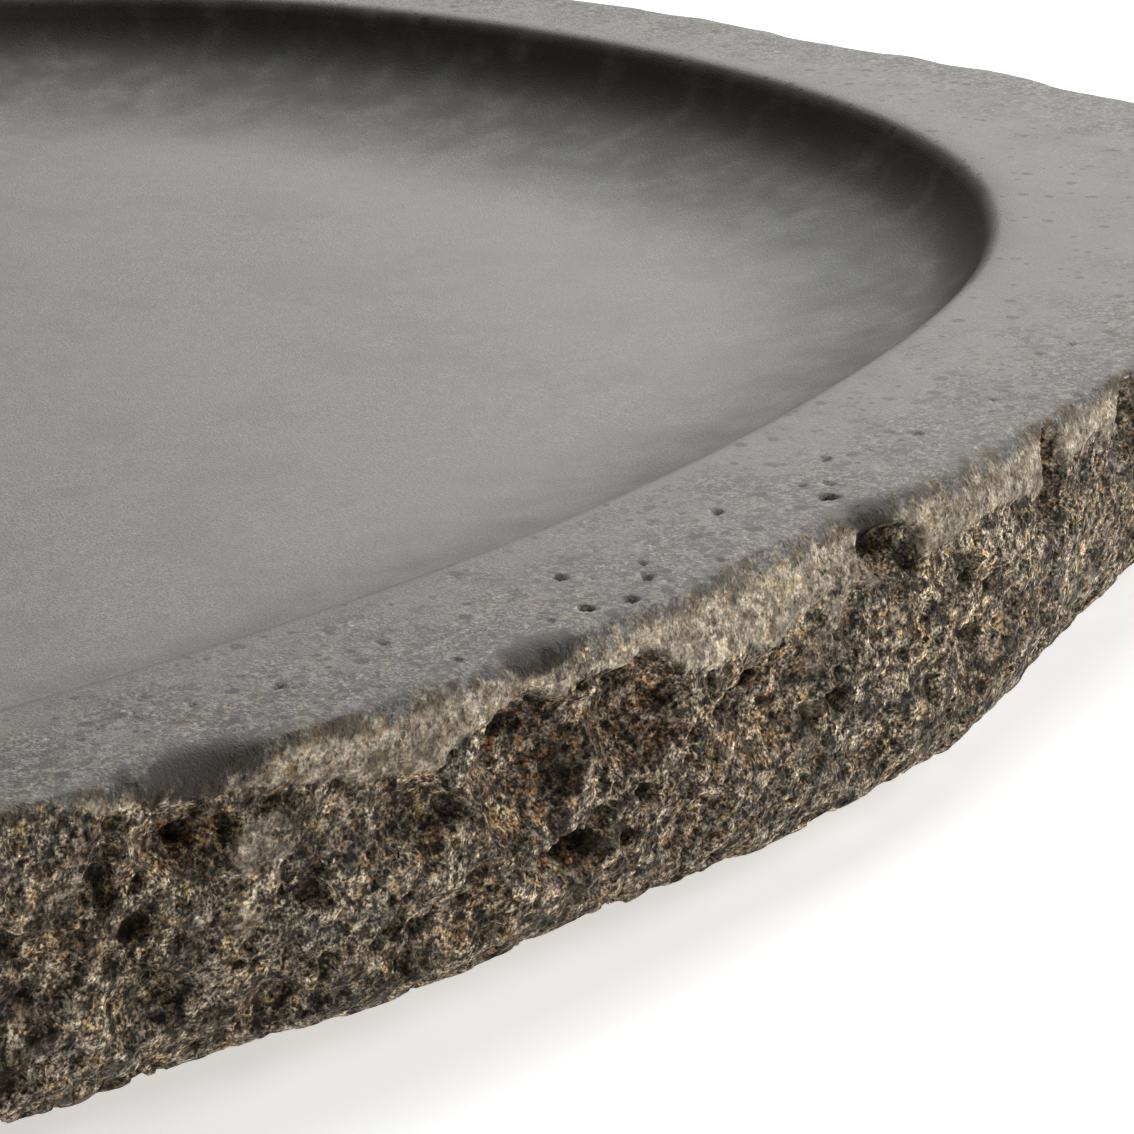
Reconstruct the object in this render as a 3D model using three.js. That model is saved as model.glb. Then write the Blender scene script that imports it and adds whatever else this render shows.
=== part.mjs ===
// A shallow serving dish of volcanic stone: one carved slab on four glued rubber pads.
// Millimetres, +Z up. The long axis of the recess lies along X, and the origin is under the
// middle of the dish, on the plane that its pads stand on.

import * as THREE from 'three';
import { mergeVertices } from 'three/addons/utils/BufferGeometryUtils.js';

// The recess, at the edge where its lip leaves the honed rim.
const recessLength = 370;
const recessWidth = 286;
const recessDepth = 15;
const lipRadius = 2.6;
const wallSlope = 72;
const coveRadius = 12;
const hollowSlope = 20;

// The slab around it.
const rimWidth = 22;
const slabThickness = 34;
const edgeInset = 1.2;
const undersideInset = 9;
const bellyHeight = 17;

// The pads under it, and the glue line between pad and stone.
const padDiameter = 22;
const padThickness = 2.5;
const padBevel = 0.5;
const padInset = 12;
const padAngles = { front_left: 222, front_right: 318, rear_right: 42, rear_left: 138 };
const glueGap = 0.3;

// Slow waves that make the hand-cut recess depart from a true oval:
// waves in one turn, height, and the direction of a crest in degrees.
const recessWaves = [
  { count: 3, height: 2.6, crest: -37 },
  { count: 4, height: 2.6, crest: 39 },
  { count: 5, height: 1.0, crest: 24 },
  { count: 6, height: 1.9, crest: 28 },
];

// Corners left on the split slab, where the rim is wider: direction, extra width and spread.
const slabCorners = [
  { direction: -72, extra: 2.6, spread: 30 },
  { direction: -40, extra: 23, spread: 21 },
  { direction: 34, extra: 6, spread: 18 },
  { direction: 98, extra: 9, spread: 20 },
  { direction: 163, extra: 8, spread: 16 },
  { direction: 205, extra: 4, spread: 12 },
];

// Where the foot of the split edge flares out or is undercut: direction, extra width and spread.
const footCorners = [
  { direction: -84, extra: 5.5, spread: 15 },
  { direction: -58, extra: -7, spread: 9 },
  { direction: -15, extra: 4, spread: 18 },
  { direction: 75, extra: 5, spread: 14 },
  { direction: 120, extra: -4, spread: 12 },
  { direction: 188, extra: 5, spread: 16 },
];

// Shorter lobes along the split edge. A crest starts at the top and leans round the slab on its
// way down, by this many degrees.
const edgeLobes = [
  { count: 9, height: 0.6, crest: 7, lean: 6 },
  { count: 14, height: 0.5, crest: 0, lean: -5 },
  { count: 23, height: 0.4, crest: -2, lean: 3 },
];

// How finely the faceted solid is divided.
const stepsRound = 132;
const arcDivisions = 2;
const padStepsRound = 28;

const slabBottom = padThickness + glueGap;
const slabTop = slabBottom + slabThickness;
const floorHeight = slabTop - recessDepth;
const meanRecess = (recessLength + recessWidth) / 4;
const meanSlab = meanRecess + rimWidth;

const radians = THREE.MathUtils.degToRad;

function wave(angle, { count, height, crest }) {
  return height * Math.cos(count * (angle - radians(crest)));
}

function recessRadius(angle) {
  const a = recessLength / 2;
  const b = recessWidth / 2;
  const oval = (a * b) / Math.hypot(b * Math.cos(angle), a * Math.sin(angle));
  return recessWaves.reduce((radius, each) => radius + wave(angle, each), oval);
}

function cornerWidth(angle, { direction, extra, spread }) {
  const turned = angle - radians(direction);
  const away = Math.atan2(Math.sin(turned), Math.cos(turned));
  return extra * Math.exp(-((away / radians(spread)) ** 2));
}

function slabRadius(angle) {
  const smooth = recessRadius(angle) + rimWidth;
  return slabCorners.reduce((radius, corner) => radius + cornerWidth(angle, corner), smooth);
}

// What the split edge adds to the outline at a height: nothing but its lobes at the top, and
// more and more of its flares and undercuts towards the foot.
function edgeRelief(angle, height) {
  const share = (slabTop - height) / slabThickness;
  const lobes = edgeLobes.reduce((sum, each) => sum + wave(angle - radians(each.lean * share), each), 0);
  return footCorners.reduce((sum, corner) => sum + share * cornerWidth(angle, corner), lobes);
}

// The recess wall in section: an arc over the lip as far as the steepest slope, a tight cove, and
// a broad hollow that takes up the depth left over and dies out into the flat floor.
function recessSection() {
  const steep = radians(wallSlope);
  const easy = radians(hollowSlope);
  const lipDrop = lipRadius * (1 - Math.cos(steep));
  const coveDrop = coveRadius * (Math.cos(easy) - Math.cos(steep));
  const hollowRadius = (recessDepth - lipDrop - coveDrop) / (1 - Math.cos(easy));
  const coveRun = (lipRadius + coveRadius) * Math.sin(steep);
  const hollowRun = (hollowRadius - coveRadius) * Math.sin(easy);
  return { steep, easy, hollowRadius, run: coveRun + hollowRun };
}

// Half the dish in section, from the middle of the underside to the middle of the recess floor,
// as if the slab were a true round one of the mean radius.
function meanSection() {
  const { steep, easy, hollowRadius, run } = recessSection();
  const section = new THREE.Path();
  section.moveTo(0, slabBottom);
  section.lineTo(meanSlab / 2, slabBottom);
  section.lineTo(meanSlab - undersideInset, slabBottom);
  section.splineThru([
    new THREE.Vector2(meanSlab - undersideInset * 0.4, slabBottom + bellyHeight * 0.24),
    new THREE.Vector2(meanSlab, slabBottom + bellyHeight),
    new THREE.Vector2(meanSlab - edgeInset, slabTop),
  ]);
  section.lineTo(meanRecess, slabTop);
  const down = -Math.PI / 2;
  section.absarc(meanRecess, slabTop - lipRadius, lipRadius, -down, steep - down, false);
  const coveX = meanRecess - (lipRadius + coveRadius) * Math.sin(steep);
  const coveY = slabTop - lipRadius + (lipRadius + coveRadius) * Math.cos(steep);
  section.absarc(coveX, coveY, coveRadius, down + steep, down + easy, true);
  section.absarc(meanRecess - run, floorHeight + hollowRadius, hollowRadius, down + easy, down, true);
  section.lineTo(meanSlab / 2, floorHeight);
  section.lineTo(0, floorHeight);
  return { points: section.getPoints(arcDivisions), run };
}

// Where a point of the mean section goes in the real outline. The recess wall and the split edge
// keep their section, and the floor and the rim stretch between them.
function warpedRadius(nominal, angle, height, run) {
  const recess = recessRadius(angle);
  const slab = slabRadius(angle) + edgeRelief(angle, height);
  const floorEdge = meanRecess - run;
  const rimEnd = meanSlab - undersideInset;
  const onTop = height > slabTop - recessDepth - 0.01 && nominal <= meanRecess + 0.01;
  if (onTop && nominal <= floorEdge) {
    return (nominal * (recess - run)) / floorEdge;
  }
  if (onTop) {
    return recess - (meanRecess - nominal);
  }
  if (nominal >= rimEnd) {
    return slab - (meanSlab - nominal);
  }
  return (nominal * (slab - undersideInset)) / rimEnd;
}

function warp(geometry, run) {
  const position = geometry.getAttribute('position');
  const point = new THREE.Vector3();
  for (let index = 0; index < position.count; index += 1) {
    point.fromBufferAttribute(position, index);
    const nominal = Math.hypot(point.x, point.y);
    const angle = Math.atan2(point.y, point.x);
    const radius = warpedRadius(nominal, angle, point.z, run);
    position.setXYZ(index, radius * Math.cos(angle), radius * Math.sin(angle), point.z);
  }
}

// A turned solid with +Z as its axis, its shared vertices merged.
function turned(points, steps) {
  const geometry = new THREE.LatheGeometry(points, steps);
  geometry.rotateX(Math.PI / 2);
  geometry.deleteAttribute('normal');
  geometry.deleteAttribute('uv');
  return mergeVertices(geometry, 1e-4);
}

function stoneDish() {
  const { points, run } = meanSection();
  const geometry = turned(points, stepsRound);
  warp(geometry, run);
  geometry.computeVertexNormals();
  const honedStone = new THREE.MeshStandardMaterial({ color: 0x8b8984, roughness: 0.85, metalness: 0 });
  const mesh = new THREE.Mesh(geometry, honedStone);
  mesh.name = 'stone_dish';
  return mesh;
}

function rubberPad(name, angle) {
  const radius = padDiameter / 2;
  const section = [
    new THREE.Vector2(0, 0),
    new THREE.Vector2(radius - padBevel, 0),
    new THREE.Vector2(radius, padBevel),
    new THREE.Vector2(radius, padThickness),
    new THREE.Vector2(0, padThickness),
  ];
  const geometry = turned(section, padStepsRound);
  geometry.computeVertexNormals();
  const rubber = new THREE.MeshStandardMaterial({ color: 0x2a2a2a, roughness: 0.9, metalness: 0 });
  const mesh = new THREE.Mesh(geometry, rubber);
  const reach = slabRadius(angle) - undersideInset - padInset - radius;
  mesh.position.set(reach * Math.cos(angle), reach * Math.sin(angle), 0);
  mesh.name = `pad_${name}`;
  return mesh;
}

const dish = new THREE.Group();
dish.add(stoneDish());
for (const [name, direction] of Object.entries(padAngles)) {
  dish.add(rubberPad(name, radians(direction)));
}

// The outline isn't symmetrical, so the whole group moves until the origin is under its middle.
const extent = new THREE.Box3().setFromObject(dish, true);
const middle = extent.getCenter(new THREE.Vector3());
dish.position.set(-middle.x, -middle.y, 0);

export default dish;
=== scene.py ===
"""The looks of the molcajete dish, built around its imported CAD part.

The stone is worked out in millimetres and turned into metres at the end. Directions are degrees
round the middle of the recess, from +X towards +Y. A height is above the plane the dish stands on.
"""

import itertools
import math

import bmesh
import bpy
import numpy as np
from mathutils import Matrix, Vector


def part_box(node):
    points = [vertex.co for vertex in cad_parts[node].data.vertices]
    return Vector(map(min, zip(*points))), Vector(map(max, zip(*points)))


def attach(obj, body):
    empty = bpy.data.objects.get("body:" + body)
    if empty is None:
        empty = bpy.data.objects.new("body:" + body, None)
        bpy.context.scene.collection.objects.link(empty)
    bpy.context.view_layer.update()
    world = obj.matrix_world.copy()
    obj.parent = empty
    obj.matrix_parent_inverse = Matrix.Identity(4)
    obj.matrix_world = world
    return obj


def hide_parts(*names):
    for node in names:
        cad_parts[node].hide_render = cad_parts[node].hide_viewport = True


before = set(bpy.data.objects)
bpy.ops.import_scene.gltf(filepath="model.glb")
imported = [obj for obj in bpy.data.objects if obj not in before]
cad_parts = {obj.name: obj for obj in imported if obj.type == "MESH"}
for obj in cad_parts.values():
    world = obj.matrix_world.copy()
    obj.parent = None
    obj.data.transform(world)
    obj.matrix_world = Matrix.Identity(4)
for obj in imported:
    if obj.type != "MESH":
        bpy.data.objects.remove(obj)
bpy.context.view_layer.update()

MM = 0.001

# ---------------------------------------------------------------------------------------------
# The dish's own sizes, in millimetres, as the CAD part has them.
# ---------------------------------------------------------------------------------------------
RECESS_LENGTH = 370.0
RECESS_WIDTH = 286.0
RECESS_DEPTH = 15.0
LIP_RADIUS = 2.6
WALL_SLOPE = math.radians(72)
COVE_RADIUS = 12.0
HOLLOW_SLOPE = math.radians(20)
RIM_WIDTH = 22.0
EDGE_INSET = 1.2
UNDERSIDE_INSET = 9.0
BELLY_HEIGHT = 17.0
# Mean radii, for lengths along the section and round the slab.
MEAN_RECESS = (RECESS_LENGTH + RECESS_WIDTH) / 4
MEAN_EDGE = MEAN_RECESS + RIM_WIDTH
# Waves in the outline of the recess: count in one turn, height, direction of a crest.
RECESS_WAVES = ((3, 2.6, -37), (4, 2.6, 39), (5, 1.0, 24), (6, 1.9, 28))
# Corners of the slab, and what is added to them at its foot: direction, extra width, spread.
SLAB_CORNERS = (
    (-72, 2.6, 30), (-40, 23, 21), (34, 6, 18), (98, 9, 20), (163, 8, 16), (205, 4, 12),
)
FOOT_CORNERS = (
    (-84, 5.5, 15), (-58, -7, 9), (-15, 4, 18), (75, 5, 14), (120, -4, 12), (188, 5, 16),
)
# Small lobes of the slab's edge: count, height, direction of a crest, lean from top to foot.
EDGE_LOBES = ((9, 0.6, 7, 6), (14, 0.5, 0, -5), (23, 0.4, -2, 3))

stone_low, stone_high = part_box("stone_dish")
BOTTOM = stone_low.z / MM
TOP = stone_high.z / MM
FLOOR = TOP - RECESS_DEPTH


def middle_of_recess():
    """The point that directions turn round: the CAD floor's own centre vertex."""
    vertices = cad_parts["stone_dish"].data.vertices
    floor = [v.co for v in vertices if abs(v.co.z / MM - FLOOR) < 0.05]
    centre = min(floor, key=lambda co: math.hypot(co.x, co.y))
    return centre.x / MM, centre.y / MM


CENTRE_X, CENTRE_Y = middle_of_recess()


# ---------------------------------------------------------------------------------------------
# Camera, at the photograph's angle: about 20 degrees down, along the slab's edge.
# ---------------------------------------------------------------------------------------------
VIEW_AZIMUTH = math.radians(-54)
VIEW_PITCH = math.radians(20)
EYE_ABOVE_RIM = 135.0
EYE_BEHIND_CENTRE = 472.5
EYE_RIGHT_OF_CENTRE = 108.0
LENS = 127.0


def add_camera():
    right = Vector((math.cos(VIEW_AZIMUTH), math.sin(VIEW_AZIMUTH), 0))
    ahead = Vector((-math.sin(VIEW_AZIMUTH), math.cos(VIEW_AZIMUTH), 0))
    eye = Vector((CENTRE_X, CENTRE_Y, TOP + EYE_ABOVE_RIM))
    eye += EYE_RIGHT_OF_CENTRE * right - EYE_BEHIND_CENTRE * ahead
    gaze = math.cos(VIEW_PITCH) * ahead - math.sin(VIEW_PITCH) * Vector((0, 0, 1))
    data = bpy.data.cameras.new("camera")
    data.lens = LENS
    data.sensor_width = 36
    data.clip_start = 0.01
    data.clip_end = 20
    camera = bpy.data.objects.new("camera", data)
    bpy.context.scene.collection.objects.link(camera)
    camera.location = eye * MM
    camera.rotation_mode = "QUATERNION"
    camera.rotation_quaternion = gaze.to_track_quat("-Z", "Y")
    bpy.context.scene.camera = camera


# ---------------------------------------------------------------------------------------------
# Repeatable noise on arrays of points.
# ---------------------------------------------------------------------------------------------
def hashed(cells, seed):
    """A number from 0 to 1 for each whole-numbered cell, always the same for a seed."""
    mixed = cells[..., 0].astype(np.uint32) * np.uint32(374761393)
    mixed = mixed + cells[..., 1].astype(np.uint32) * np.uint32(668265263)
    mixed = mixed + cells[..., 2].astype(np.uint32) * np.uint32(2246822519)
    mixed = mixed + np.uint32((seed * 3266489917) % 2**32)
    mixed = (mixed ^ (mixed >> np.uint32(13))) * np.uint32(1274126177)
    mixed = mixed ^ (mixed >> np.uint32(16))
    mixed = mixed * np.uint32(2654435761)
    mixed = mixed ^ (mixed >> np.uint32(15))
    return mixed / 2.0**32


def soft_noise(points, size, seed):
    """Smooth noise from -1 to 1 whose bumps are about size apart."""
    scaled = points / size
    base = np.floor(scaled).astype(np.int64)
    t = scaled - base
    t = t * t * (3 - 2 * t)
    total = np.zeros(len(points))
    for corner in itertools.product((0, 1), repeat=3):
        share = np.prod(np.where(np.array(corner) == 1, t, 1 - t), axis=1)
        total += share * hashed(base + np.array(corner), seed)
    return total * 2 - 1


def pores(points, cell, small, large, share, seed):
    """How deep round bubbles, one at most in each cell, are cut open at each point."""
    base = np.floor(points / cell).astype(np.int64)
    depth = np.zeros(len(points))
    for step in itertools.product((-1, 0, 1), repeat=3):
        home = base + np.array(step)
        jitter = np.stack([hashed(home, seed + k) for k in range(3)], axis=1)
        radius = small + (large - small) * hashed(home, seed + 3) ** 2
        radius = np.where(hashed(home, seed + 4) < share, radius, 0)
        away = np.linalg.norm((home + jitter) * cell - points, axis=1)
        depth = np.maximum(depth, np.sqrt(np.maximum(radius**2 - away**2, 0)))
    return depth


def smooth_step(low, high, value):
    t = np.clip((value - low) / (high - low), 0, 1)
    return t * t * (3 - 2 * t)


# ---------------------------------------------------------------------------------------------
# Outlines and section of the slab.
# ---------------------------------------------------------------------------------------------
def turned_from(angle, direction):
    """The turn from a direction in degrees to an angle, the short way round."""
    turned = angle - math.radians(direction)
    return np.arctan2(np.sin(turned), np.cos(turned))


def ring(angle, radius, height):
    """Points at a radius and height from the middle of the recess."""
    return np.stack([radius * np.cos(angle), radius * np.sin(angle), height], axis=1)


def corner_width(angle, corner):
    direction, extra, spread = corner
    return extra * np.exp(-((turned_from(angle, direction) / math.radians(spread)) ** 2))


def recess_radius(angle):
    a = RECESS_LENGTH / 2
    b = RECESS_WIDTH / 2
    radius = a * b / np.hypot(b * np.cos(angle), a * np.sin(angle))
    for count, height, crest in RECESS_WAVES:
        radius = radius + height * np.cos(count * (angle - math.radians(crest)))
    return radius


def edge_radius(angle, height):
    """The slab's outline at a height, before anything is broken off it."""
    share = (TOP - height) / (TOP - BOTTOM)
    radius = recess_radius(angle) + RIM_WIDTH
    for corner in SLAB_CORNERS:
        radius = radius + corner_width(angle, corner)
    for corner in FOOT_CORNERS:
        radius = radius + share * corner_width(angle, corner)
    for count, size, crest, lean in EDGE_LOBES:
        shifted = angle - math.radians(lean) * share - math.radians(crest)
        radius = radius + size * np.cos(count * shifted)
    return radius


def arc(centre, radius, start, end, steps):
    angles = np.linspace(start, end, steps)
    return [(centre[0] + radius * math.cos(a), centre[1] + radius * math.sin(a)) for a in angles]


def hollow_radius():
    """The radius of the broad hollow that takes up the depth the lip and the cove leave over."""
    lip_drop = LIP_RADIUS * (1 - math.cos(WALL_SLOPE))
    cove_drop = COVE_RADIUS * (math.cos(HOLLOW_SLOPE) - math.cos(WALL_SLOPE))
    return (RECESS_DEPTH - lip_drop - cove_drop) / (1 - math.cos(HOLLOW_SLOPE))


HOLLOW_RADIUS = hollow_radius()
COVE_RUN = (LIP_RADIUS + COVE_RADIUS) * math.sin(WALL_SLOPE)
# How far inside the edge of the recess its flat floor begins.
FLOOR_INSET = COVE_RUN + (HOLLOW_RADIUS - COVE_RADIUS) * math.sin(HOLLOW_SLOPE)
# A point that the side passes below its belly: shares of the underside's inset and the belly's height.
SIDE_KNEE = (0.4, 0.24)
# The section starts and ends this share of the radius from the middle, and the mesh is filled there.
CORE = 0.03


class Section:
    """The slab's section as a path from the middle of the underside to the middle of the floor.

    Each point of the path is recess * recess_radius + edge * edge_radius + shift from the middle,
    at height z. The path's length is counted in millimetres from its start.
    """

    def __init__(self):
        self.rows = []
        self.stops = {}
        self.under()
        self.side()
        self.rim()
        self.wall()
        self.floor()
        self.table = np.array(self.rows)
        self.lengths = self.path_lengths()
        self.at = {name: self.lengths[index] for name, index in self.stops.items()}

    def stop(self, name):
        self.stops[name] = len(self.rows) - 1

    def under(self):
        for t in np.linspace(CORE, 1, 40):
            self.rows.append((0, t, -UNDERSIDE_INSET * t, BOTTOM))
        self.stop("foot")

    def side(self):
        inset, rise = SIDE_KNEE
        knots = np.array([
            (-UNDERSIDE_INSET, 0), (-UNDERSIDE_INSET * inset, BELLY_HEIGHT * rise),
            (0, BELLY_HEIGHT), (-EDGE_INSET, TOP - BOTTOM),
        ])
        curve = np.polyfit(knots[:, 1] ** 0.5, knots[:, 0], 3)
        for height in np.linspace(0, TOP - BOTTOM, 80)[1:]:
            self.rows.append((0, 1, np.polyval(curve, height**0.5), BOTTOM + height))
        self.stop("arris")

    def rim(self):
        for t in np.linspace(1, 0, 30)[1:]:
            self.rows.append((1 - t, t, -EDGE_INSET * t, TOP))
        self.stop("lip")

    def wall(self):
        """The rounded lip, the steep cove and the broad hollow."""
        down = -math.pi / 2
        easy = down + HOLLOW_SLOPE
        cove_height = TOP - LIP_RADIUS + (LIP_RADIUS + COVE_RADIUS) * math.cos(WALL_SLOPE)
        lip = arc((0, TOP - LIP_RADIUS), LIP_RADIUS, -down, WALL_SLOPE - down, 12)
        cove = arc((-COVE_RUN, cove_height), COVE_RADIUS, down + WALL_SLOPE, easy, 12)
        hollow = arc((-FLOOR_INSET, FLOOR + HOLLOW_RADIUS), HOLLOW_RADIUS, easy, down, 16)
        for shift, height in lip[1:] + cove[1:] + hollow[1:]:
            self.rows.append((1, 0, shift, height))
        self.stop("floor")

    def floor(self):
        for t in np.linspace(1, CORE, 40)[1:]:
            self.rows.append((t, 0, -FLOOR_INSET * t, FLOOR))
        self.stop("end")

    def path_lengths(self):
        recess, edge, shift, height = self.table.T
        radius = recess * MEAN_RECESS + edge * MEAN_EDGE + shift
        steps = np.hypot(np.diff(radius), np.diff(height))
        return np.concatenate([[0], np.cumsum(steps)])

    def columns(self, length):
        return [np.interp(length, self.lengths, column) for column in self.table.T]

    def place(self, angle, length):
        """Points of the unbroken slab."""
        recess, edge, shift, height = self.columns(length)
        radius = recess * recess_radius(angle) + edge * edge_radius(angle, height) + shift
        return ring(angle, radius, height)

    def outward(self, angle, length):
        """The direction out of the stone."""
        step = 0.6
        before = np.stack(self.columns(length - step))
        after = np.stack(self.columns(length + step))
        recess, edge, shift, rise = after - before
        run = recess * MEAN_RECESS + edge * MEAN_EDGE
        run = run + shift
        size = np.maximum(np.hypot(run, rise), 1e-9)
        out, up = rise / size, -run / size
        return ring(angle, out, up)


section = Section()


# ---------------------------------------------------------------------------------------------
# What is broken off the edge. Each scoop: direction, height, half-width, half-height, depth, rust.
# ---------------------------------------------------------------------------------------------
SCOOPS = (
    (-104.2, 25.4, 8.0, 7.6, 4.4, 1.0),
    (-99.0, 26.6, 6.6, 6.4, 4.0, 0.9),
    (-102.1, 14.0, 5.4, 2.6, 4.4, 0.9),
    (-118.0, 30.0, 5.5, 4.0, 2.4, 0.6),
    (-84.2, 32.6, 5.4, 3.4, 1.8, 0.1),
    (-72.4, 29.5, 3.6, 7.5, 4.4, 0.1),
    (-65.8, 31.5, 4.4, 6.0, 3.6, 0.0),
    (-109.4, 24.6, 4.8, 4.2, 3.2, 0.3),
    (-92.0, 21.0, 9.0, 6.5, 2.2, 0.5),
    (-79.0, 19.0, 8.0, 8.0, 2.2, 0.2),
    (-114.4, 8.5, 4.0, 3.4, 2.4, 0.2),
    (-124.5, 19.0, 9.0, 7.0, 2.4, 0.2),
    (-108.0, 12.0, 8.0, 4.0, 1.8, 0.4),
    (-62.0, 15.0, 7.0, 8.0, 2.4, 0.0),
    (-96.0, 12.0, 6.0, 4.0, 2.0, 0.3),
    (-86.0, 11.0, 7.0, 5.0, 1.8, 0.1),
    (-119.0, 14.0, 5.0, 4.0, 1.8, 0.1),
)
# Smooth pale patches where the stone was struck: direction, height, half-width, half-height.
BRUISES = ((-115.4, 22.5, 2.4, 4.6), (-87.4, 31.0, 2.4, 4.6), (-115.0, 27.0, 3.8, 3.2))
# Single deep pores in the broken face: direction, height, radius.
FACE_PORES = ((-108.5, 33.6, 1.0), (-107.4, 33.2, 0.6), (-106.0, 30.6, 0.7), (-99.4, 13.6, 1.2))
# Dark holes in the broken face: direction, height, half-width, half-height, depth.
HOLES = (
    (-101.9, 14.0, 4.8, 2.2, 3.6), (-98.4, 17.6, 1.7, 1.2, 2.4), (-95.6, 19.4, 1.5, 1.0, 2.2),
    (-72.4, 29.0, 2.2, 5.2, 3.0), (-117.8, 29.8, 2.2, 1.6, 2.2), (-120.6, 27.6, 1.6, 2.4, 2.2),
    (-66.2, 33.0, 2.6, 3.0, 2.6), (-84.3, 33.2, 3.2, 1.8, 1.8), (-104.9, 29.6, 3.6, 1.5, 1.8),
    (-99.6, 31.2, 3.0, 1.3, 1.8), (-92.4, 24.4, 2.2, 1.4, 2.2), (-113.2, 20.6, 2.4, 1.6, 2.4),
    (-119.6, 22.0, 2.2, 1.5, 2.4), (-79.4, 25.4, 1.8, 2.4, 2.4), (-88.0, 19.0, 1.6, 1.4, 2.0),
    (-110.4, 13.0, 2.6, 1.3, 2.2),
)
# Single pores in the honed rim: direction, place from lip (0) to edge (1), radius.
RIM_PORES = (
    (-84.7, 0.78, 1.3), (-98.2, 0.47, 1.0), (-99.7, 0.81, 1.0), (-95.9, 0.76, 0.8),
    (-106.3, 0.85, 0.7), (-94.8, 0.62, 0.6), (-88.5, 0.5, 0.7), (-80.5, 0.45, 0.8),
    (-91.2, 0.35, 0.6), (-76.0, 0.62, 0.7), (-112.5, 0.55, 0.7), (-119.0, 0.42, 0.6),
)
# Where the honed rim turns down further at its edge: direction, half-width, depth, reach.
DIPS = ((-117.2, 9.0, 1.1, 4.5), (-103.4, 6.0, 0.5, 3.0), (-84.5, 4.0, 0.7, 3.0))
# All round, the honed rim turns down by the roll, and both faces draw back by the rounding.
ROLL_DEPTH = 0.5
ROLL_REACH = 2.8
ROUNDING = 0.5
# How far the pale bruised band reaches down from the top, where it is set one by one.
BAND_DEPTHS = (
    (-125, 0.5), (-118, 1.5), (-113, 6.0), (-108.5, 7.5), (-104, 4.5), (-99, 4.0), (-95.5, 9.0),
    (-91, 8.0), (-86, 7.0), (-80, 6.0), (-74, 7.0), (-66, 4.0), (-58, 5.0),
)
BAND_ELSEWHERE = 5.0
# Bubbles that the break cuts open: cell, least and greatest radius, share of cells, seed, stretch.
FACE_BUBBLES = ((6.0, 0.8, 2.2, 0.6, 11, 1.0), (3.0, 0.5, 1.35, 0.85, 21, 1.1))
FINE_BUBBLES = (1.45, 0.3, 0.75, 0.95, 26, 1.2)
# Bubbles that the honing cuts open: cell, least and greatest radius, share of cells, seed.
HONED_BUBBLES = ((5.5, 0.35, 1.0, 0.35, 51), (2.6, 0.25, 0.55, 0.25, 61))
# Below this grid spacing the mesh is fine enough to hold small bubbles.
FINE_SPACING = 0.7


def random_scoops(count, seed):
    """Scoops for the rest of the edge, away from the stretch that is set one by one."""
    dice = np.random.default_rng(seed)
    scoops = []
    for _ in range(count):
        direction = dice.uniform(-54, 226)
        height = dice.uniform(5, 34)
        width = dice.uniform(4, 12)
        tall = width * dice.uniform(0.5, 0.9)
        deep = width * dice.uniform(0.2, 0.32)
        scoops.append((direction, height, width, tall, deep, dice.random()))
    return scoops


ALL_SCOOPS = SCOOPS + tuple(random_scoops(count=85, seed=7))


def across(angle, direction, radius):
    """Distance along the edge from a direction."""
    return turned_from(angle, direction) * radius


def band_depth(angle, points):
    """How far below the top the smooth bruised band ends and the rough stone begins."""
    degrees = np.degrees(np.arctan2(np.sin(angle), np.cos(angle)))
    known = np.array(BAND_DEPTHS)
    by_hand = np.interp(degrees, known[:, 0], known[:, 1])
    elsewhere = BAND_ELSEWHERE + 3 * soft_noise(points, 22, 81)
    share = smooth_step(-130, -125, degrees) * (1 - smooth_step(-62, -57, degrees))
    return elsewhere + (by_hand - elsewhere) * share + 1.5 * soft_noise(points, 4.5, 82)


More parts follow.
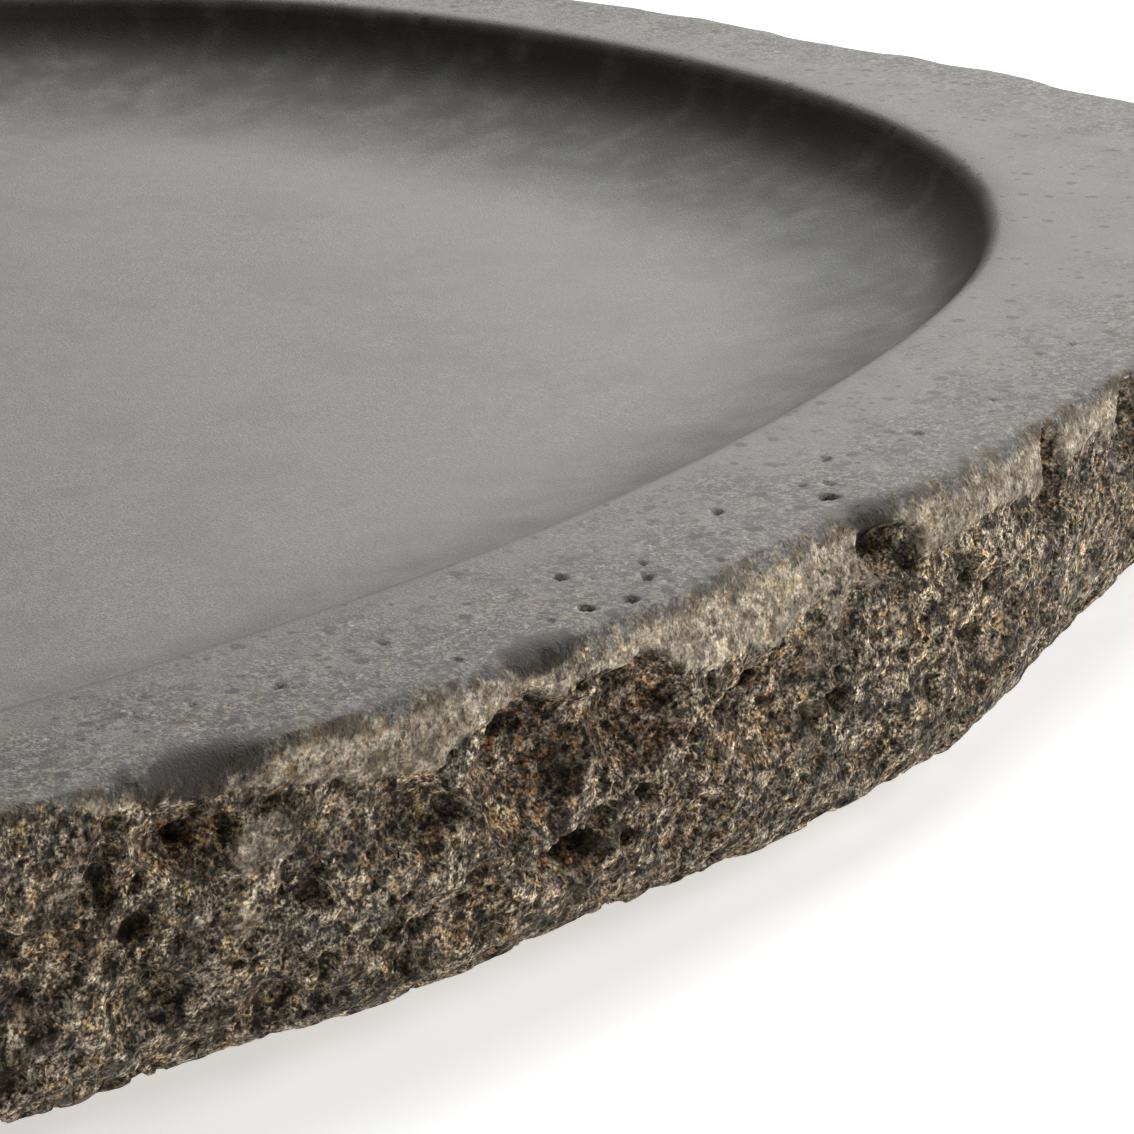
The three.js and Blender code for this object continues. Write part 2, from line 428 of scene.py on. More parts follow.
class Broken:
    """The broken face: how far it lies inside the unbroken slab, and what it looks like."""

    def __init__(self, angle, height, spacing):
        self.angle = angle
        self.height = height
        self.radius = edge_radius(angle, height)
        self.points = ring(angle, self.radius, height)
        self.fine = spacing < FINE_SPACING
        below = TOP - height
        band = band_depth(angle, self.points)
        self.rough = smooth_step(band - 0.7, band + 0.7, below)
        self.rust = np.zeros(len(angle))
        self.carve()
        self.calm_bruises()
        self.roughen()

    def carve(self):
        """The scoops: steep at their upper rims and easy below."""
        wobble = 1 + 0.35 * soft_noise(self.points, 4.0, 31) + 0.2 * soft_noise(self.points, 1.8, 32)
        self.scooped = np.zeros(len(self.angle))
        for direction, centre, wide, tall, deep, rust in ALL_SCOOPS:
            rise = (self.height - centre) / tall
            reach = (across(self.angle, direction, self.radius) / wide) ** 2 + rise**2
            reach = reach * wobble
            inside = np.maximum(1 - reach, 0)
            upper = smooth_step(-0.9, 0.4, rise)
            depth = deep * (inside**0.5 * upper + inside * (1 - upper))
            self.scooped = np.maximum(self.scooped, depth)
            self.rough = np.maximum(self.rough, smooth_step(1.1, 0.85, reach))
            self.rust = np.maximum(self.rust, rust * smooth_step(1.25, 0.5, reach))

    def calm_bruises(self):
        """The bruises are smooth, pale and lean to one side."""
        for direction, centre, wide, tall in BRUISES:
            rise = self.height - centre
            beside = across(self.angle, direction, self.radius) - 0.35 * rise
            reach = (beside / wide) ** 2 + (rise / tall) ** 2
            self.rough = np.minimum(self.rough, 0.3 + 0.7 * smooth_step(0.4, 1.3, reach))

    def roughen(self):
        """Bubbles, holes, lumps and grain."""
        warp = np.stack([soft_noise(self.points, 1.7, 90 + k) for k in range(3)], axis=1)
        drift = np.stack([soft_noise(self.points, 4.3, 94 + k) for k in range(3)], axis=1)
        crooked = self.points + 0.55 * warp + 1.1 * drift
        hollow = np.zeros(len(self.angle))
        for *bubbles, stretch in FACE_BUBBLES:
            hollow = np.maximum(hollow, stretch * pores(crooked, *bubbles))
        *bubbles, stretch = FINE_BUBBLES
        small = stretch * pores(crooked, *bubbles)
        hollow = np.where(self.fine, np.maximum(hollow, small), hollow)
        for direction, centre, size in FACE_PORES:
            away = np.hypot(across(self.angle, direction, self.radius), self.height - centre)
            bored = 2.4 * np.sqrt(np.maximum(size**2 - away**2, 0))
            hollow = np.maximum(hollow * self.rough, bored)
        for direction, centre, wide, tall, deep in HOLES:
            beside = across(self.angle, direction, self.radius) + 0.8 * warp[:, 0]
            rise = self.height - centre + 0.8 * warp[:, 1]
            reach = (beside / wide) ** 2 + (rise / tall) ** 2
            hollow = np.maximum(hollow, deep * np.sqrt(np.maximum(1 - reach, 0)))
        self.hollow = hollow
        lumps = 0.5 * np.abs(soft_noise(self.points, 9, 1)) + 0.3 * soft_noise(self.points, 4.4, 2)
        grain = 0.28 * soft_noise(self.points, 2.1, 3) + 0.2 * soft_noise(self.points, 1.15, 4)
        worn = 0.18 + 0.22 * soft_noise(self.points, 6, 5) + 0.10 * soft_noise(self.points, 1.6, 6)
        rough_depth = 0.55 + lumps + grain
        self.depth = worn + self.rough * (rough_depth - worn) + self.scooped + hollow
        self.depth = np.maximum(self.depth, 0.02)


def edge_nicks(angle):
    """How far the honed rim falls short of the slab's outline."""
    radius = edge_radius(angle, TOP)
    points = ring(angle, radius, 0 * angle)
    nicks = 0.15 + 0.3 * soft_noise(points, 5, 41) + 0.2 * soft_noise(points, 2.1, 42)
    for direction, centre, wide, tall, deep, _ in ALL_SCOOPS:
        reach = (across(angle, direction, radius) / wide) ** 2 + ((TOP - centre) / tall) ** 2
        nicks = np.maximum(nicks, 0.8 * deep * np.maximum(1 - reach, 0))
    return np.maximum(nicks, 0.02)


def rim_place(length):
    """Where a point of the rim lies, from the lip (0) to the edge (1)."""
    return 1 - (length - section.at["arris"]) / (section.at["lip"] - section.at["arris"])


def rim_width(angle):
    return edge_radius(angle, TOP) - recess_radius(angle)


def rim_dip(angle, from_edge):
    """How far the honed rim turns down close to its edge."""
    radius = edge_radius(angle, TOP)
    uneven = 1 + 0.8 * soft_noise(ring(angle, radius, 0 * angle), 7, 43)
    dip = ROLL_DEPTH * uneven * np.clip(1 - from_edge / ROLL_REACH, 0, 1) ** 2
    for direction, wide, deep, reach in DIPS:
        beside = np.exp(-((across(angle, direction, radius) / wide) ** 2))
        dip = dip + deep * beside * np.clip(1 - from_edge / reach, 0, 1) ** 2
    return dip


def honed_pits(angle, length, points, spacing):
    """How deep the honed surface is pitted."""
    fine = spacing < FINE_SPACING
    holes = np.zeros(len(angle))
    for bubbles in HONED_BUBBLES:
        holes[fine] = np.maximum(holes[fine], pores(points[fine], *bubbles))
    place = rim_place(length)
    width = rim_width(angle)
    outline = recess_radius(angle) + place * width
    bent = 0.5 * soft_noise(points, 1.6, 64)
    for direction, where, size in RIM_PORES:
        away = np.hypot(across(angle, direction, outline) + bent, (place - where) * width - bent)
        holes = np.maximum(holes, 1.1 * np.sqrt(np.maximum((0.85 * size) ** 2 - away**2, 0)))
    return holes


# ---------------------------------------------------------------------------------------------
# The stone's mesh: a grid of direction and path length, finer where it is broken.
# ---------------------------------------------------------------------------------------------
BASE_STEP = 3.6
UNDERSIDE_STEP = 9.0
FLOOR_STEP = 8.0
# The stretch of the edge, in degrees, that is divided most finely.
CLOSE_LOOK = (-129.0, -57.0)
# The break fades out this far in under the foot.
FOOT_FADE = 8
# Less than this apart counts as the same place on the section.
HAIR = 1e-6


def grid_rows():
    at = section.at
    spans = (
        (0, at["foot"], UNDERSIDE_STEP), (at["foot"], at["arris"], BASE_STEP),
        (at["arris"], at["lip"], BASE_STEP), (at["lip"], at["floor"], BASE_STEP),
        (at["floor"], at["end"], FLOOR_STEP),
    )
    rows = [0.0]
    for start, end, step in spans:
        count = max(int(round((end - start) / step)), 1)
        rows.extend(np.linspace(start, end, count + 1)[1:])
    return rows


def refined_grid():
    """A flat mesh of (direction, path length), divided more finely in the zones that need it."""
    rows = grid_rows()
    columns = int(2 * math.pi * MEAN_EDGE / BASE_STEP)
    angles = np.linspace(-math.pi, math.pi, columns + 1)
    mesh = bmesh.new()
    grid = [[mesh.verts.new((a, s, 0)) for s in rows] for a in angles]
    for left, right in zip(grid[:-1], grid[1:]):
        for k in range(len(rows) - 1):
            mesh.faces.new((left[k], right[k], right[k + 1], left[k + 1]))
    at = section.at
    first, last = (math.radians(d) for d in CLOSE_LOOK)
    whole = (-4, 4)
    zones = (
        (*whole, at["foot"] - 4, at["lip"] + 18),
        (first - 0.05, last + 0.05, at["foot"] - 1, at["lip"] + 1),
        (first, last, at["foot"], at["arris"] + 11),
    )
    for low, high, start, end in zones:
        divide(mesh, low, high, start, end)
    return mesh


def divide(mesh, low, high, start, end):
    """Halves the faces between two angles and two path lengths."""
    chosen = set()
    for face in mesh.faces:
        middle = face.calc_center_median()
        if low < middle.x < high and start < middle.y < end:
            chosen.update(face.edges)
    ordered = [edge for edge in mesh.edges if edge in chosen]
    bmesh.ops.subdivide_edges(mesh, edges=ordered, cuts=1, use_grid_fill=True)


def grid_spacing(mesh):
    """The length of the shortest edge at each vertex, which says how finely it is divided."""
    spacing = []
    for vertex in mesh.verts:
        spans = [edge.verts[0].co - edge.verts[1].co for edge in vertex.link_edges]
        spacing.append(min(math.hypot(span.x * MEAN_EDGE, span.y) for span in spans))
    return np.array(spacing)


class Stone:
    """The stone's surface, with what the material needs to know at each point."""

    def __init__(self, angle, length, spacing):
        self.angle = angle
        self.length = length
        self.spacing = spacing
        self.points = section.place(angle, length)
        self.outward = section.outward(angle, length)
        self.hollow = np.zeros(len(angle))
        self.pale = np.ones(len(angle))
        self.rust = np.zeros(len(angle))
        self.raw = np.clip(0.5 + (section.at["arris"] - length) / 6, 0, 1)
        self.break_face()
        self.draw_in_rim()
        self.pit_honed()

    def break_face(self):
        """The broken face moves in along its own direction, and level at its top edge."""
        at = section.at
        face = (self.length > at["foot"] - FOOT_FADE) & (self.length <= at["arris"] + HAIR)
        angle, height = self.angle[face], self.points[face, 2].copy()
        broken = Broken(angle, height, self.spacing[face])
        close = smooth_step(TOP - 2.5, TOP - 0.2, height)
        depth = broken.depth * (1 - close) + edge_nicks(angle) * close
        depth = depth + ROUNDING * np.clip(1 - (TOP - height) / ROLL_REACH, 0, 1) ** 2
        depth = depth * smooth_step(at["foot"] - FOOT_FADE, at["foot"] + 3, self.length[face])
        level = smooth_step(TOP - 5, TOP - 1, height)[:, None]
        flat = ring(angle, 1, 0 * angle)
        way = self.outward[face] * (1 - level) + flat * level
        self.points[face] -= way * depth[:, None]
        self.points[face, 2] -= rim_dip(angle, 0 * angle) * smooth_step(TOP - 9, TOP, height)
        self.hollow[face] = broken.hollow
        self.pale[face] = 1 - broken.rough
        self.rust[face] = broken.rust

    def draw_in_rim(self):
        """The honed rim is drawn in to meet the broken edge."""
        at = section.at
        rim = (self.length > at["arris"] + HAIR) & (self.length < at["lip"] + HAIR)
        angle, place = self.angle[rim], rim_place(self.length[rim])
        pull = (edge_nicks(angle) + ROUNDING) * place
        self.points[rim, 0] -= pull * np.cos(angle)
        self.points[rim, 1] -= pull * np.sin(angle)
        from_edge = (1 - place) * rim_width(angle)
        self.points[rim, 2] -= rim_dip(angle, from_edge)

    def pit_honed(self):
        """The honed faces are pitted and very slightly uneven."""
        at = section.at
        honed = self.length > at["arris"] + HAIR
        points, length = self.points[honed], self.length[honed]
        pits = honed_pits(self.angle[honed], length, points, self.spacing[honed])
        pits = pits * np.clip((length - at["arris"]) / 2.0, 0, 1)
        broad = 0.12 + 0.12 * soft_noise(points, 32, 71)
        broad = broad * np.clip((length - at["arris"]) / 8.0, 0, 1)
        out = self.outward[honed].copy()
        out[length < at["lip"]] = (0, 0, 1)
        self.points[honed] -= out * (0.9 * pits + broad)[:, None]
        self.hollow[honed] = pits

    def wall_shade_mask(self):
        """Where the recess wall gets painted shade: 1 on the wall, fading to 0 where the floor is
        flat.
        """
        at = section.at
        down = smooth_step(at["lip"] - 0.5, at["lip"] + 3, self.length)
        return down * (1 - smooth_step(at["lip"] + 6, at["floor"] + 8, self.length))

    def painted_edge_shade(self):
        """1 where the rim gets painted shade as it dips down at its edge, 0 elsewhere."""
        radius = edge_radius(self.angle, TOP)
        away = np.abs(1 - rim_place(self.length)) * rim_width(self.angle)
        dip_shade = np.zeros(len(self.angle))
        for direction, wide, _, reach in DIPS:
            beside = np.exp(-((across(self.angle, direction, radius) / wide) ** 2))
            dip_shade = np.maximum(dip_shade, beside * np.clip(1.25 - away / reach, 0, 1))
        return dip_shade

    def from_edge(self):
        """Closeness to the edge of the honed rim: 1 at the edge, fading over some centimetres."""
        away = (1 - rim_place(self.length)) * rim_width(self.angle)
        return np.where(self.length > section.at["lip"], 0, np.exp(-np.clip(away, 0, None) / 30))


def build_stone():
    flat = refined_grid()
    coordinates = np.array([v.co for v in flat.verts])
    surface = Stone(coordinates[:, 0], coordinates[:, 1], grid_spacing(flat))
    points = surface.points + (CENTRE_X, CENTRE_Y, 0)
    points = np.clip(points, np.array(stone_low) / MM, np.array(stone_high) / MM)
    for vertex, place in zip(flat.verts, points * MM):
        vertex.co = place
    looks = {
        "raw": surface.raw, "hollow": surface.hollow, "pale": surface.pale,
        "rust": surface.rust, "edge": surface.from_edge(), "wall": surface.wall_shade_mask(),
        "dip_shade": surface.painted_edge_shade(),
    }
    for name, values in looks.items():
        layer = flat.verts.layers.float.new(name)
        for vertex, value in zip(flat.verts, values):
            vertex[layer] = value
    close_ends(flat)
    mesh = bpy.data.meshes.new("stone")
    flat.to_mesh(mesh)
    flat.free()
    mesh.polygons.foreach_set("use_smooth", [True] * len(mesh.polygons))
    stone = bpy.data.objects.new("stone", mesh)
    bpy.context.scene.collection.objects.link(stone)
    return stone


def close_ends(mesh):
    """Joins the grid's two sides and fills the small rings left in the middle."""
    bmesh.ops.remove_doubles(mesh, verts=mesh.verts[:], dist=1e-7)
    rims = [edge for edge in mesh.edges if edge.is_boundary]
    bmesh.ops.holes_fill(mesh, edges=rims, sides=0)
    bmesh.ops.recalc_face_normals(mesh, faces=mesh.faces[:])


# ---------------------------------------------------------------------------------------------
# Materials.
# ---------------------------------------------------------------------------------------------
class Nodes:
    """A short way to write a material's node tree. Pattern sizes are in millimetres."""

    def __init__(self, name):
        self.material = bpy.data.materials.new(name)
        self.material.use_nodes = True
        self.tree = self.material.node_tree
        self.tree.nodes.clear()
        output = self.add("ShaderNodeOutputMaterial")
        self.shader = self.add("ShaderNodeBsdfPrincipled")
        self.link(self.shader.outputs[0], output.inputs[0])
        self.place = self.add("ShaderNodeTexCoord").outputs["Object"]

    def add(self, kind, **settings):
        node = self.tree.nodes.new(kind)
        for name, value in settings.items():
            setattr(node, name, value)
        return node

    def link(self, source, target):
        """Joins an output to an input, or sets the input where the source is a plain value."""
        if isinstance(source, (int, float, tuple)):
            target.default_value = source
        else:
            self.tree.links.new(source, target)

    def attribute(self, name):
        return self.add("ShaderNodeAttribute", attribute_name=name).outputs["Fac"]

    def noise_node(self, size, detail=2.0, rough=0.5):
        node = self.add("ShaderNodeTexNoise")
        self.link(self.place, node.inputs["Vector"])
        node.inputs["Scale"].default_value = 1 / (size * MM)
        node.inputs["Detail"].default_value = detail
        node.inputs["Roughness"].default_value = rough
        return node

    def noise(self, size, detail=2.0, rough=0.5):
        return self.noise_node(size, detail, rough).outputs["Fac"]

    def cells(self, size, place=None):
        """The distance from the middle of a cell, and a number from 0 to 1 for the cell."""
        node = self.add("ShaderNodeTexVoronoi")
        self.link(place or self.place, node.inputs["Vector"])
        node.inputs["Scale"].default_value = 1 / (size * MM)
        parts = self.add("ShaderNodeSeparateColor")
        self.link(node.outputs["Color"], parts.inputs[0])
        return node.outputs["Distance"], parts.outputs[0]

    def math(self, operation, a, b=0.0, clamp=False):
        node = self.add("ShaderNodeMath", operation=operation, use_clamp=clamp)
        self.link(a, node.inputs[0])
        self.link(b, node.inputs[1])
        return node.outputs[0]

    def plus(self, a, b):
        return self.math("ADD", a, b)

    def minus(self, a, b):
        return self.math("SUBTRACT", a, b)

    def times(self, a, b):
        return self.math("MULTIPLY", a, b)

    def vector_math(self, operation, a):
        node = self.add("ShaderNodeVectorMath", operation=operation)
        self.link(a, node.inputs[0])
        return node

    def step(self, value, low, high, to_low=0.0, to_high=1.0):
        node = self.add("ShaderNodeMapRange", interpolation_type="SMOOTHSTEP")
        self.link(value, node.inputs["Value"])
        node.inputs["From Min"].default_value = low
        node.inputs["From Max"].default_value = high
        node.inputs["To Min"].default_value = to_low
        node.inputs["To Max"].default_value = to_high
        return node.outputs["Result"]

    def patches(self, size, low, high, most=1.0, detail=4, rough=0.65):
        """Soft-edged patches: most where the noise is above high, 0 where it is below low."""
        return self.step(self.noise(size, detail, rough), low, high, 0.0, most)

    def ragged(self, value, size, height, middle=0.5, detail=4, rough=0.65):
        """A value made uneven by noise, so that a border in it wanders."""
        uneven = self.minus(self.noise(size, detail, rough), middle)
        return self.plus(value, self.times(uneven, height))

    def mix(self, share, a, b, blend="MIX"):
        node = self.add("ShaderNodeMix", data_type="RGBA", blend_type=blend)
        self.link(share, node.inputs[0])
        self.link(a, node.inputs[6])
        self.link(b, node.inputs[7])
        return node.outputs[2]

    def paint(self, colour, share, tone, blend="MIX"):
        """Lays a plain colour over another."""
        return self.mix(share, colour, (*tone, 1), blend)

    def ramp(self, value, stops):
        node = self.add("ShaderNodeValToRGB")
        self.link(value, node.inputs[0])
        elements = node.color_ramp.elements
        while len(elements) < len(stops):
            elements.new(0.5)
        for element, (position, colour) in zip(elements, stops):
            element.position = position
            element.color = (*colour, 1)
        return node.outputs[0]

    def bump(self, height, distance):
        node = self.add("ShaderNodeBump")
        node.inputs["Strength"].default_value = 1.0
        node.inputs["Distance"].default_value = distance * MM
        self.link(height, node.inputs["Height"])
        self.link(node.outputs[0], self.shader.inputs["Normal"])


def grey(value, warmth=0.0):
    return (value * (1 + warmth), value, value * (1 - warmth))


# Ramps of linear colour: place on the ramp, colour.
HONED = ((0.32, grey(0.115, 0.01)), (0.5, grey(0.185, 0.02)), (0.68, grey(0.27, 0.03)))
HONED_NEAR_EDGE = (
    (0.37, (0.016, 0.015, 0.013)), (0.5, (0.092, 0.087, 0.078)), (0.62, (0.23, 0.22, 0.202)),
)
DARK_GRAINS = (
    (0.38, (0.018, 0.017, 0.017)), (0.45, (0.085, 0.078, 0.068)), (0.51, (0.23, 0.20, 0.15)),
    (0.57, (0.42, 0.38, 0.30)), (0.65, (0.62, 0.58, 0.50)),
)
GREY_GRAINS = (
    (0.36, (0.10, 0.092, 0.078)), (0.46, (0.22, 0.205, 0.175)), (0.56, (0.34, 0.32, 0.28)),
    (0.66, (0.52, 0.50, 0.45)),
)
CRUSHED_GRAINS = (
    (0.36, (0.10, 0.090, 0.073)), (0.44, (0.27, 0.252, 0.216)), (0.52, (0.40, 0.38, 0.335)),
    (0.64, (0.56, 0.54, 0.49)),
)
# Broad mottling of the honed faces: size, roughness, low, high, strength, colour.
HONED_MOTTLES = (
    (2.4, 0.6, 0.38, 0.68, 0.4, (0.148, 0.141, 0.135)),
    (14, 0.6, 0.46, 0.66, 0.35, (0.13, 0.122, 0.116)),
    (40, 0.55, 0.4, 0.7, 0.4, (0.215, 0.203, 0.19)),
)
# Grain that deepens contrast: size, detail, darkest and brightest gain.
CONTRAST_GRAINS = ((0.32, 2, 0.2, 1.9), (1.05, 3, 0.2, 1.95), (3.0, 3, 0.5, 1.5))
# Pits of the honed faces, painted as dark spots of shade, and cavities of the broken one: size, share
# of cells left bare.
PITS = ((2.4, 0.5), (4.6, 0.5))
CAVITIES = ((0.85, 0.35), (1.7, 0.5))


def honed_colour(n, hollow, edge, wall):
    """Mid grey, finely mottled, with painted shade on the recess wall and in the pits, and flecks and
    pits near the edge.
    """
    colour = n.ramp(n.noise(0.34, 3, 0.65), HONED)
    for size, rough, low, high, most, tone in HONED_MOTTLES:
        colour = n.paint(colour, n.patches(size, low, high, most, 3, rough), tone)
    near = contrast(n, n.ramp(n.noise(0.42, 4, 0.75), HONED_NEAR_EDGE), 0.6)
    near_edge = n.step(n.ragged(edge, 9, 1.2, detail=3, rough=0.6), 0.3, 0.9, 0.0, 0.9)
    colour = n.mix(near_edge, colour, near)
    # Painted shade: the recess wall is darkened in noisy patches, where the hollow lies in shade.
    painted_wall_shade = n.step(n.times(wall, n.noise(7, 3)), 0.0, 0.55, 0.0, 0.85)
    colour = n.paint(colour, painted_wall_shade, (0.05, 0.046, 0.042))
    worn = n.step(edge, 0.2, 0.75, 0.06, 1.0)
    ochre = n.times(n.patches(0.8, 0.53, 0.62), n.patches(5, 0.40, 0.60, detail=2, rough=0.5))
    colour = n.paint(colour, n.times(n.times(ochre, worn), 0.8), (0.34, 0.27, 0.16))
    pale = n.times(n.patches(1.2, 0.54, 0.62), worn)
    colour = n.paint(colour, n.times(pale, 0.5), (0.31, 0.305, 0.295))
    brown = n.times(n.patches(2.0, 0.56, 0.62), worn)
    colour = n.paint(colour, n.times(brown, 0.8), (0.070, 0.050, 0.035))
    height = n.add("ShaderNodeSeparateXYZ")
    n.link(n.place, height.inputs[0])
    on_rim = n.step(height.outputs[2], (TOP - 3) * MM, (TOP - 1) * MM)
    # Painted shade: dark spots stand for the shade inside small pits, more of them near the edge and
    # on the rim.
    pitted = n.math("MAXIMUM", worn, n.times(on_rim, 0.75))
    for size, bare in PITS:
        distance, chance = n.cells(size)
        away = n.plus(distance, n.times(n.noise(0.7, 3, 0.6), 0.3))
        pits = n.times(n.step(away, 0.29, 0.36, 1.0, 0.0), n.step(chance, bare, bare + 0.05))
        colour = n.paint(colour, n.times(n.times(pits, pitted), 0.9), (0.030, 0.021, 0.014))
    colour = n.paint(colour, on_rim, (0.79, 0.775, 0.745), "MULTIPLY")
    # Painted shade: pits cut into the honed faces are darkened the deeper they are.
    return n.paint(colour, n.step(hollow, 0.05, 0.8, 0.0, 0.8), (0.040, 0.030, 0.022))


def crumbled(n):
    """Small cavities between thin walls: 1 in a cavity, 0 on a wall."""
    centred = n.vector_math("SUBTRACT", n.noise_node(0.9).outputs["Color"])
    centred.inputs[1].default_value = (0.5, 0.5, 0.5)
    shift = n.vector_math("SCALE", centred.outputs[0])
    shift.inputs["Scale"].default_value = 1.3 * MM
    crooked = n.vector_math("ADD", n.place)
    n.link(shift.outputs[0], crooked.inputs[1])
    total = 0.0
    for size, bare in CAVITIES:
        distance, chance = n.cells(size, crooked.outputs[0])
        chosen = n.step(chance, bare, bare + 0.05)
        total = n.math("MAXIMUM", total, n.times(n.step(distance, 0.18, 0.48, 1.0, 0.0), chosen))
    return total


def contrast(n, colour, strength):
    """Multiplies a colour by grain at three sizes, so that dark gaps lie between bright grains."""
    for size, detail, low, high in CONTRAST_GRAINS:
        darkest, brightest = 1 + (low - 1) * strength, 1 + (high - 1) * strength
        gain = n.step(n.noise(size, detail, 0.6), 0.34, 0.66, darkest, brightest)
        grey_gain = n.add("ShaderNodeCombineColor")
        for channel in grey_gain.inputs:
            n.link(gain, channel)
        colour = n.mix(1.0, colour, grey_gain.outputs[0], "MULTIPLY")
    return colour


def rough_colour(n, grain, tan, rust, cavity):
    """Charcoal and grey stone with tan and rusty grains, and cavities darkened with painted shade,
    with tan rims.
    """
    colour = n.ramp(grain, DARK_GRAINS)
    colour = n.mix(n.patches(6.5, 0.42, 0.54, 0.85, rough=0.6), colour, n.ramp(grain, GREY_GRAINS))
    colour = n.paint(colour, n.times(tan, 0.7), (0.40, 0.28, 0.12))
    rusting = n.plus(n.patches(7, 0.52, 0.66, 0.5, 2, 0.5), rust)
    rusty = n.math("MULTIPLY", n.patches(1.0, 0.49, 0.60), rusting, clamp=True)
    colour = n.paint(colour, n.times(rusty, 0.75), (0.33, 0.15, 0.04))
    colour = n.paint(colour, n.patches(5.5, 0.47, 0.62, 0.6), (0.034, 0.033, 0.034))
    cavity_rim = n.times(n.step(cavity, 0.02, 0.25), n.step(cavity, 0.35, 0.8, 1.0, 0.0))
    cavity_rim = n.times(cavity_rim, n.step(n.noise(3.4), 0.42, 0.58, 0.1, 0.6))
    colour = n.paint(colour, cavity_rim, (0.34, 0.20, 0.085))
    # Painted shade: the small cavities are darkened almost to black.
    colour = n.paint(colour, n.times(cavity, 0.9), (0.012, 0.009, 0.007))
    return contrast(n, colour, 1.0)


def crushed_colour(n, grain, tan, cavity):
    """Pale crushed stone with tan grains and brown mottles."""
    colour = n.ramp(grain, CRUSHED_GRAINS)
    colour = n.paint(colour, n.times(tan, 0.7), (0.46, 0.33, 0.17))
    colour = n.paint(colour, n.patches(2.2, 0.49, 0.59, 0.75), (0.12, 0.095, 0.062))
    colour = n.paint(colour, n.patches(9, 0.45, 0.62, 0.4, 3, 0.6), (0.20, 0.185, 0.16))
    # Painted shade: the small cavities are darkened.
    colour = n.paint(colour, n.times(cavity, 0.5), (0.04, 0.032, 0.022))
    return contrast(n, colour, 0.4)


def broken_colour(n, hollow, pale, rust, cavity):
    """The rough stone, and on the bruised band the crushed stone."""
    _, crystals = n.cells(0.42)
    grain = n.plus(n.times(n.noise(0.36, 5, 0.75), 0.62), n.times(n.noise(1.6, 3, 0.6), 0.3))
    grain = n.plus(grain, n.times(crystals, 0.08))
    tan = n.times(n.patches(1.1, 0.52, 0.60, rough=0.6), n.patches(4, 0.40, 0.6, detail=2, rough=0.5))
    crushed = n.ragged(n.ragged(pale, 1.8, 2.2), 7, 2.6, middle=0.48, detail=3, rough=0.6)
    colour = n.mix(
        n.step(crushed, 0.25, 0.75),
        rough_colour(n, grain, tan, rust, cavity),
        crushed_colour(n, grain, tan, cavity),
    )
    # Painted shade: bubbles and holes of the broken face are darkened the deeper they are.
    colour = n.paint(colour, n.step(hollow, 0.3, 2.0, 0.0, 0.8), (0.016, 0.011, 0.008))
    return n.paint(colour, 1.0, (1.12, 1.0, 0.85), "MULTIPLY")


def stone_material():
    n = Nodes("volcanic_stone")
    hollow = n.attribute("hollow")
    pale = n.attribute("pale")
    near_arris = n.attribute("raw")
    border = n.ragged(n.ragged(near_arris, 1.6, 1.3), 6, 1.3, detail=3, rough=0.6)
    raw = n.step(border, 0.42, 0.78)
    cavity = crumbled(n)
    honed = honed_colour(n, hollow, n.attribute("edge"), n.attribute("wall"))
    broken = broken_colour(n, hollow, pale, n.attribute("rust"), cavity)
    colour = n.mix(raw, honed, broken)
    # Painted shade: a dark band in patches along the arris, where the rim rolls over into the broken
    # face.
    beside = n.math("ABSOLUTE", n.minus(near_arris, 0.52))
    painted_edge_shade = n.times(n.step(beside, 0.05, 0.42, 1.0, 0.0), n.patches(6, 0.46, 0.58))
    colour = n.paint(colour, n.times(painted_edge_shade, 0.8), (0.052, 0.038, 0.026))
    # Painted shade: the rim is darkened almost to black where it dips down at its edge.
    painted_dip_shade = n.times(n.attribute("dip_shade"), n.ragged(0.75, 3.5, 2.4, detail=5, rough=0.7))
    colour = n.paint(colour, n.step(painted_dip_shade, 0.2, 0.5, 0.0, 0.92), (0.024, 0.018, 0.012))
    n.link(colour, n.shader.inputs["Base Color"])
    n.link(n.step(raw, 0, 1, 0.6, 0.85), n.shader.inputs["Roughness"])
    n.shader.inputs["Specular IOR Level"].default_value = 0.35

    rough_relief = n.minus(n.times(n.noise(0.40, 4, 0.7), 1.1), n.times(cavity, 0.9))
    rough_relief = n.times(rough_relief, n.step(pale, 0.2, 0.9, 1.0, 0.3))
    honed_relief = n.times(n.noise(0.3), 0.10)
    relief = n.plus(n.times(rough_relief, raw), n.times(honed_relief, n.minus(1.0, raw)))
    n.bump(relief, 0.6)
    return n.material


def rubber_material():
    n = Nodes("pad_rubber")
    tone = n.ramp(n.noise(1.5, 3), [(0.3, grey(0.018)), (0.7, grey(0.035))])
    n.link(tone, n.shader.inputs["Base Color"])
    n.shader.inputs["Roughness"].default_value = 0.75
    n.bump(n.noise(0.4), 0.05)
    return n.material


# ---------------------------------------------------------------------------------------------
# Floor and light.
# ---------------------------------------------------------------------------------------------
FLOOR_WIDTH = 6.0
FLOOR_GLOW = 0.52
ROOM_LIGHT = 0.04
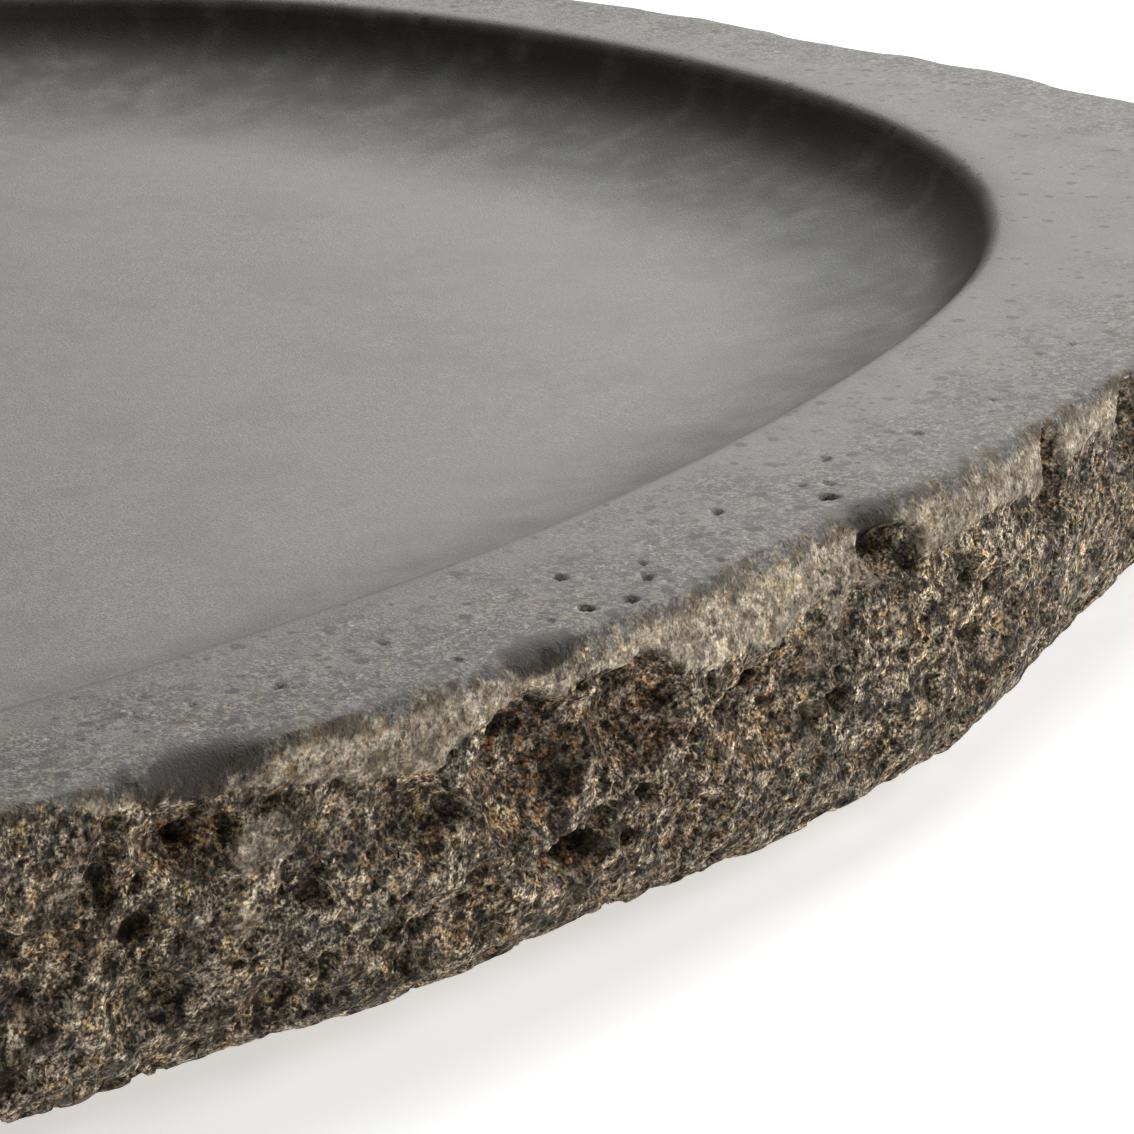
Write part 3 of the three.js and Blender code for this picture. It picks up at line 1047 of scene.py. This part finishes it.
# Each panel: direction, elevation, distance and size in metres, power in watts.
PANELS = {
    "key": (18, 36, 3.0, 2.2, 84), "side": (-38, 22, 3.0, 1.6, 66), "top": (36, 72, 3.0, 1.6, 26),
}


def add_floor():
    half = FLOOR_WIDTH / 2
    corners = [(-half, -half, 0), (half, -half, 0), (half, half, 0), (-half, half, 0)]
    mesh = bpy.data.meshes.new("floor")
    mesh.from_pydata(corners, [], [(0, 1, 2, 3)])
    floor = bpy.data.objects.new("floor", mesh)
    bpy.context.scene.collection.objects.link(floor)
    n = Nodes("pale_floor")
    n.shader.inputs["Base Color"].default_value = (0.86, 0.86, 0.86, 1)
    n.shader.inputs["Roughness"].default_value = 0.9
    n.shader.inputs["Emission Color"].default_value = (1, 1, 1, 1)
    n.shader.inputs["Emission Strength"].default_value = FLOOR_GLOW
    floor.data.materials.append(n.material)


def add_panel(name, direction, elevation, distance, size, power):
    """A soft square light that looks at the dish."""
    data = bpy.data.lights.new(name, "AREA")
    data.shape = "SQUARE"
    data.size = size
    data.energy = power
    panel = bpy.data.objects.new(name, data)
    bpy.context.scene.collection.objects.link(panel)
    turn, rise = math.radians(direction), math.radians(elevation)
    way = Vector((math.cos(turn) * math.cos(rise), math.sin(turn) * math.cos(rise), math.sin(rise)))
    panel.location = way * distance
    panel.rotation_mode = "QUATERNION"
    panel.rotation_quaternion = way.to_track_quat("Z", "Y")


def add_light():
    world = bpy.data.worlds.new("studio")
    bpy.context.scene.world = world
    world.use_nodes = True
    world.node_tree.nodes["Background"].inputs[0].default_value = (1, 1, 1, 1)
    world.node_tree.nodes["Background"].inputs[1].default_value = ROOM_LIGHT
    for name, panel in PANELS.items():
        add_panel(name, *panel)


add_camera()
stone = build_stone()
stone.data.materials.append(stone_material())
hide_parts("stone_dish")
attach(stone, "root")

rubber = rubber_material()
for name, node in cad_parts.items():
    if name.startswith("pad_"):
        node.data.materials.clear()
        node.data.materials.append(rubber)

add_floor()
add_light()
bpy.context.scene.view_settings.view_transform = "Standard"
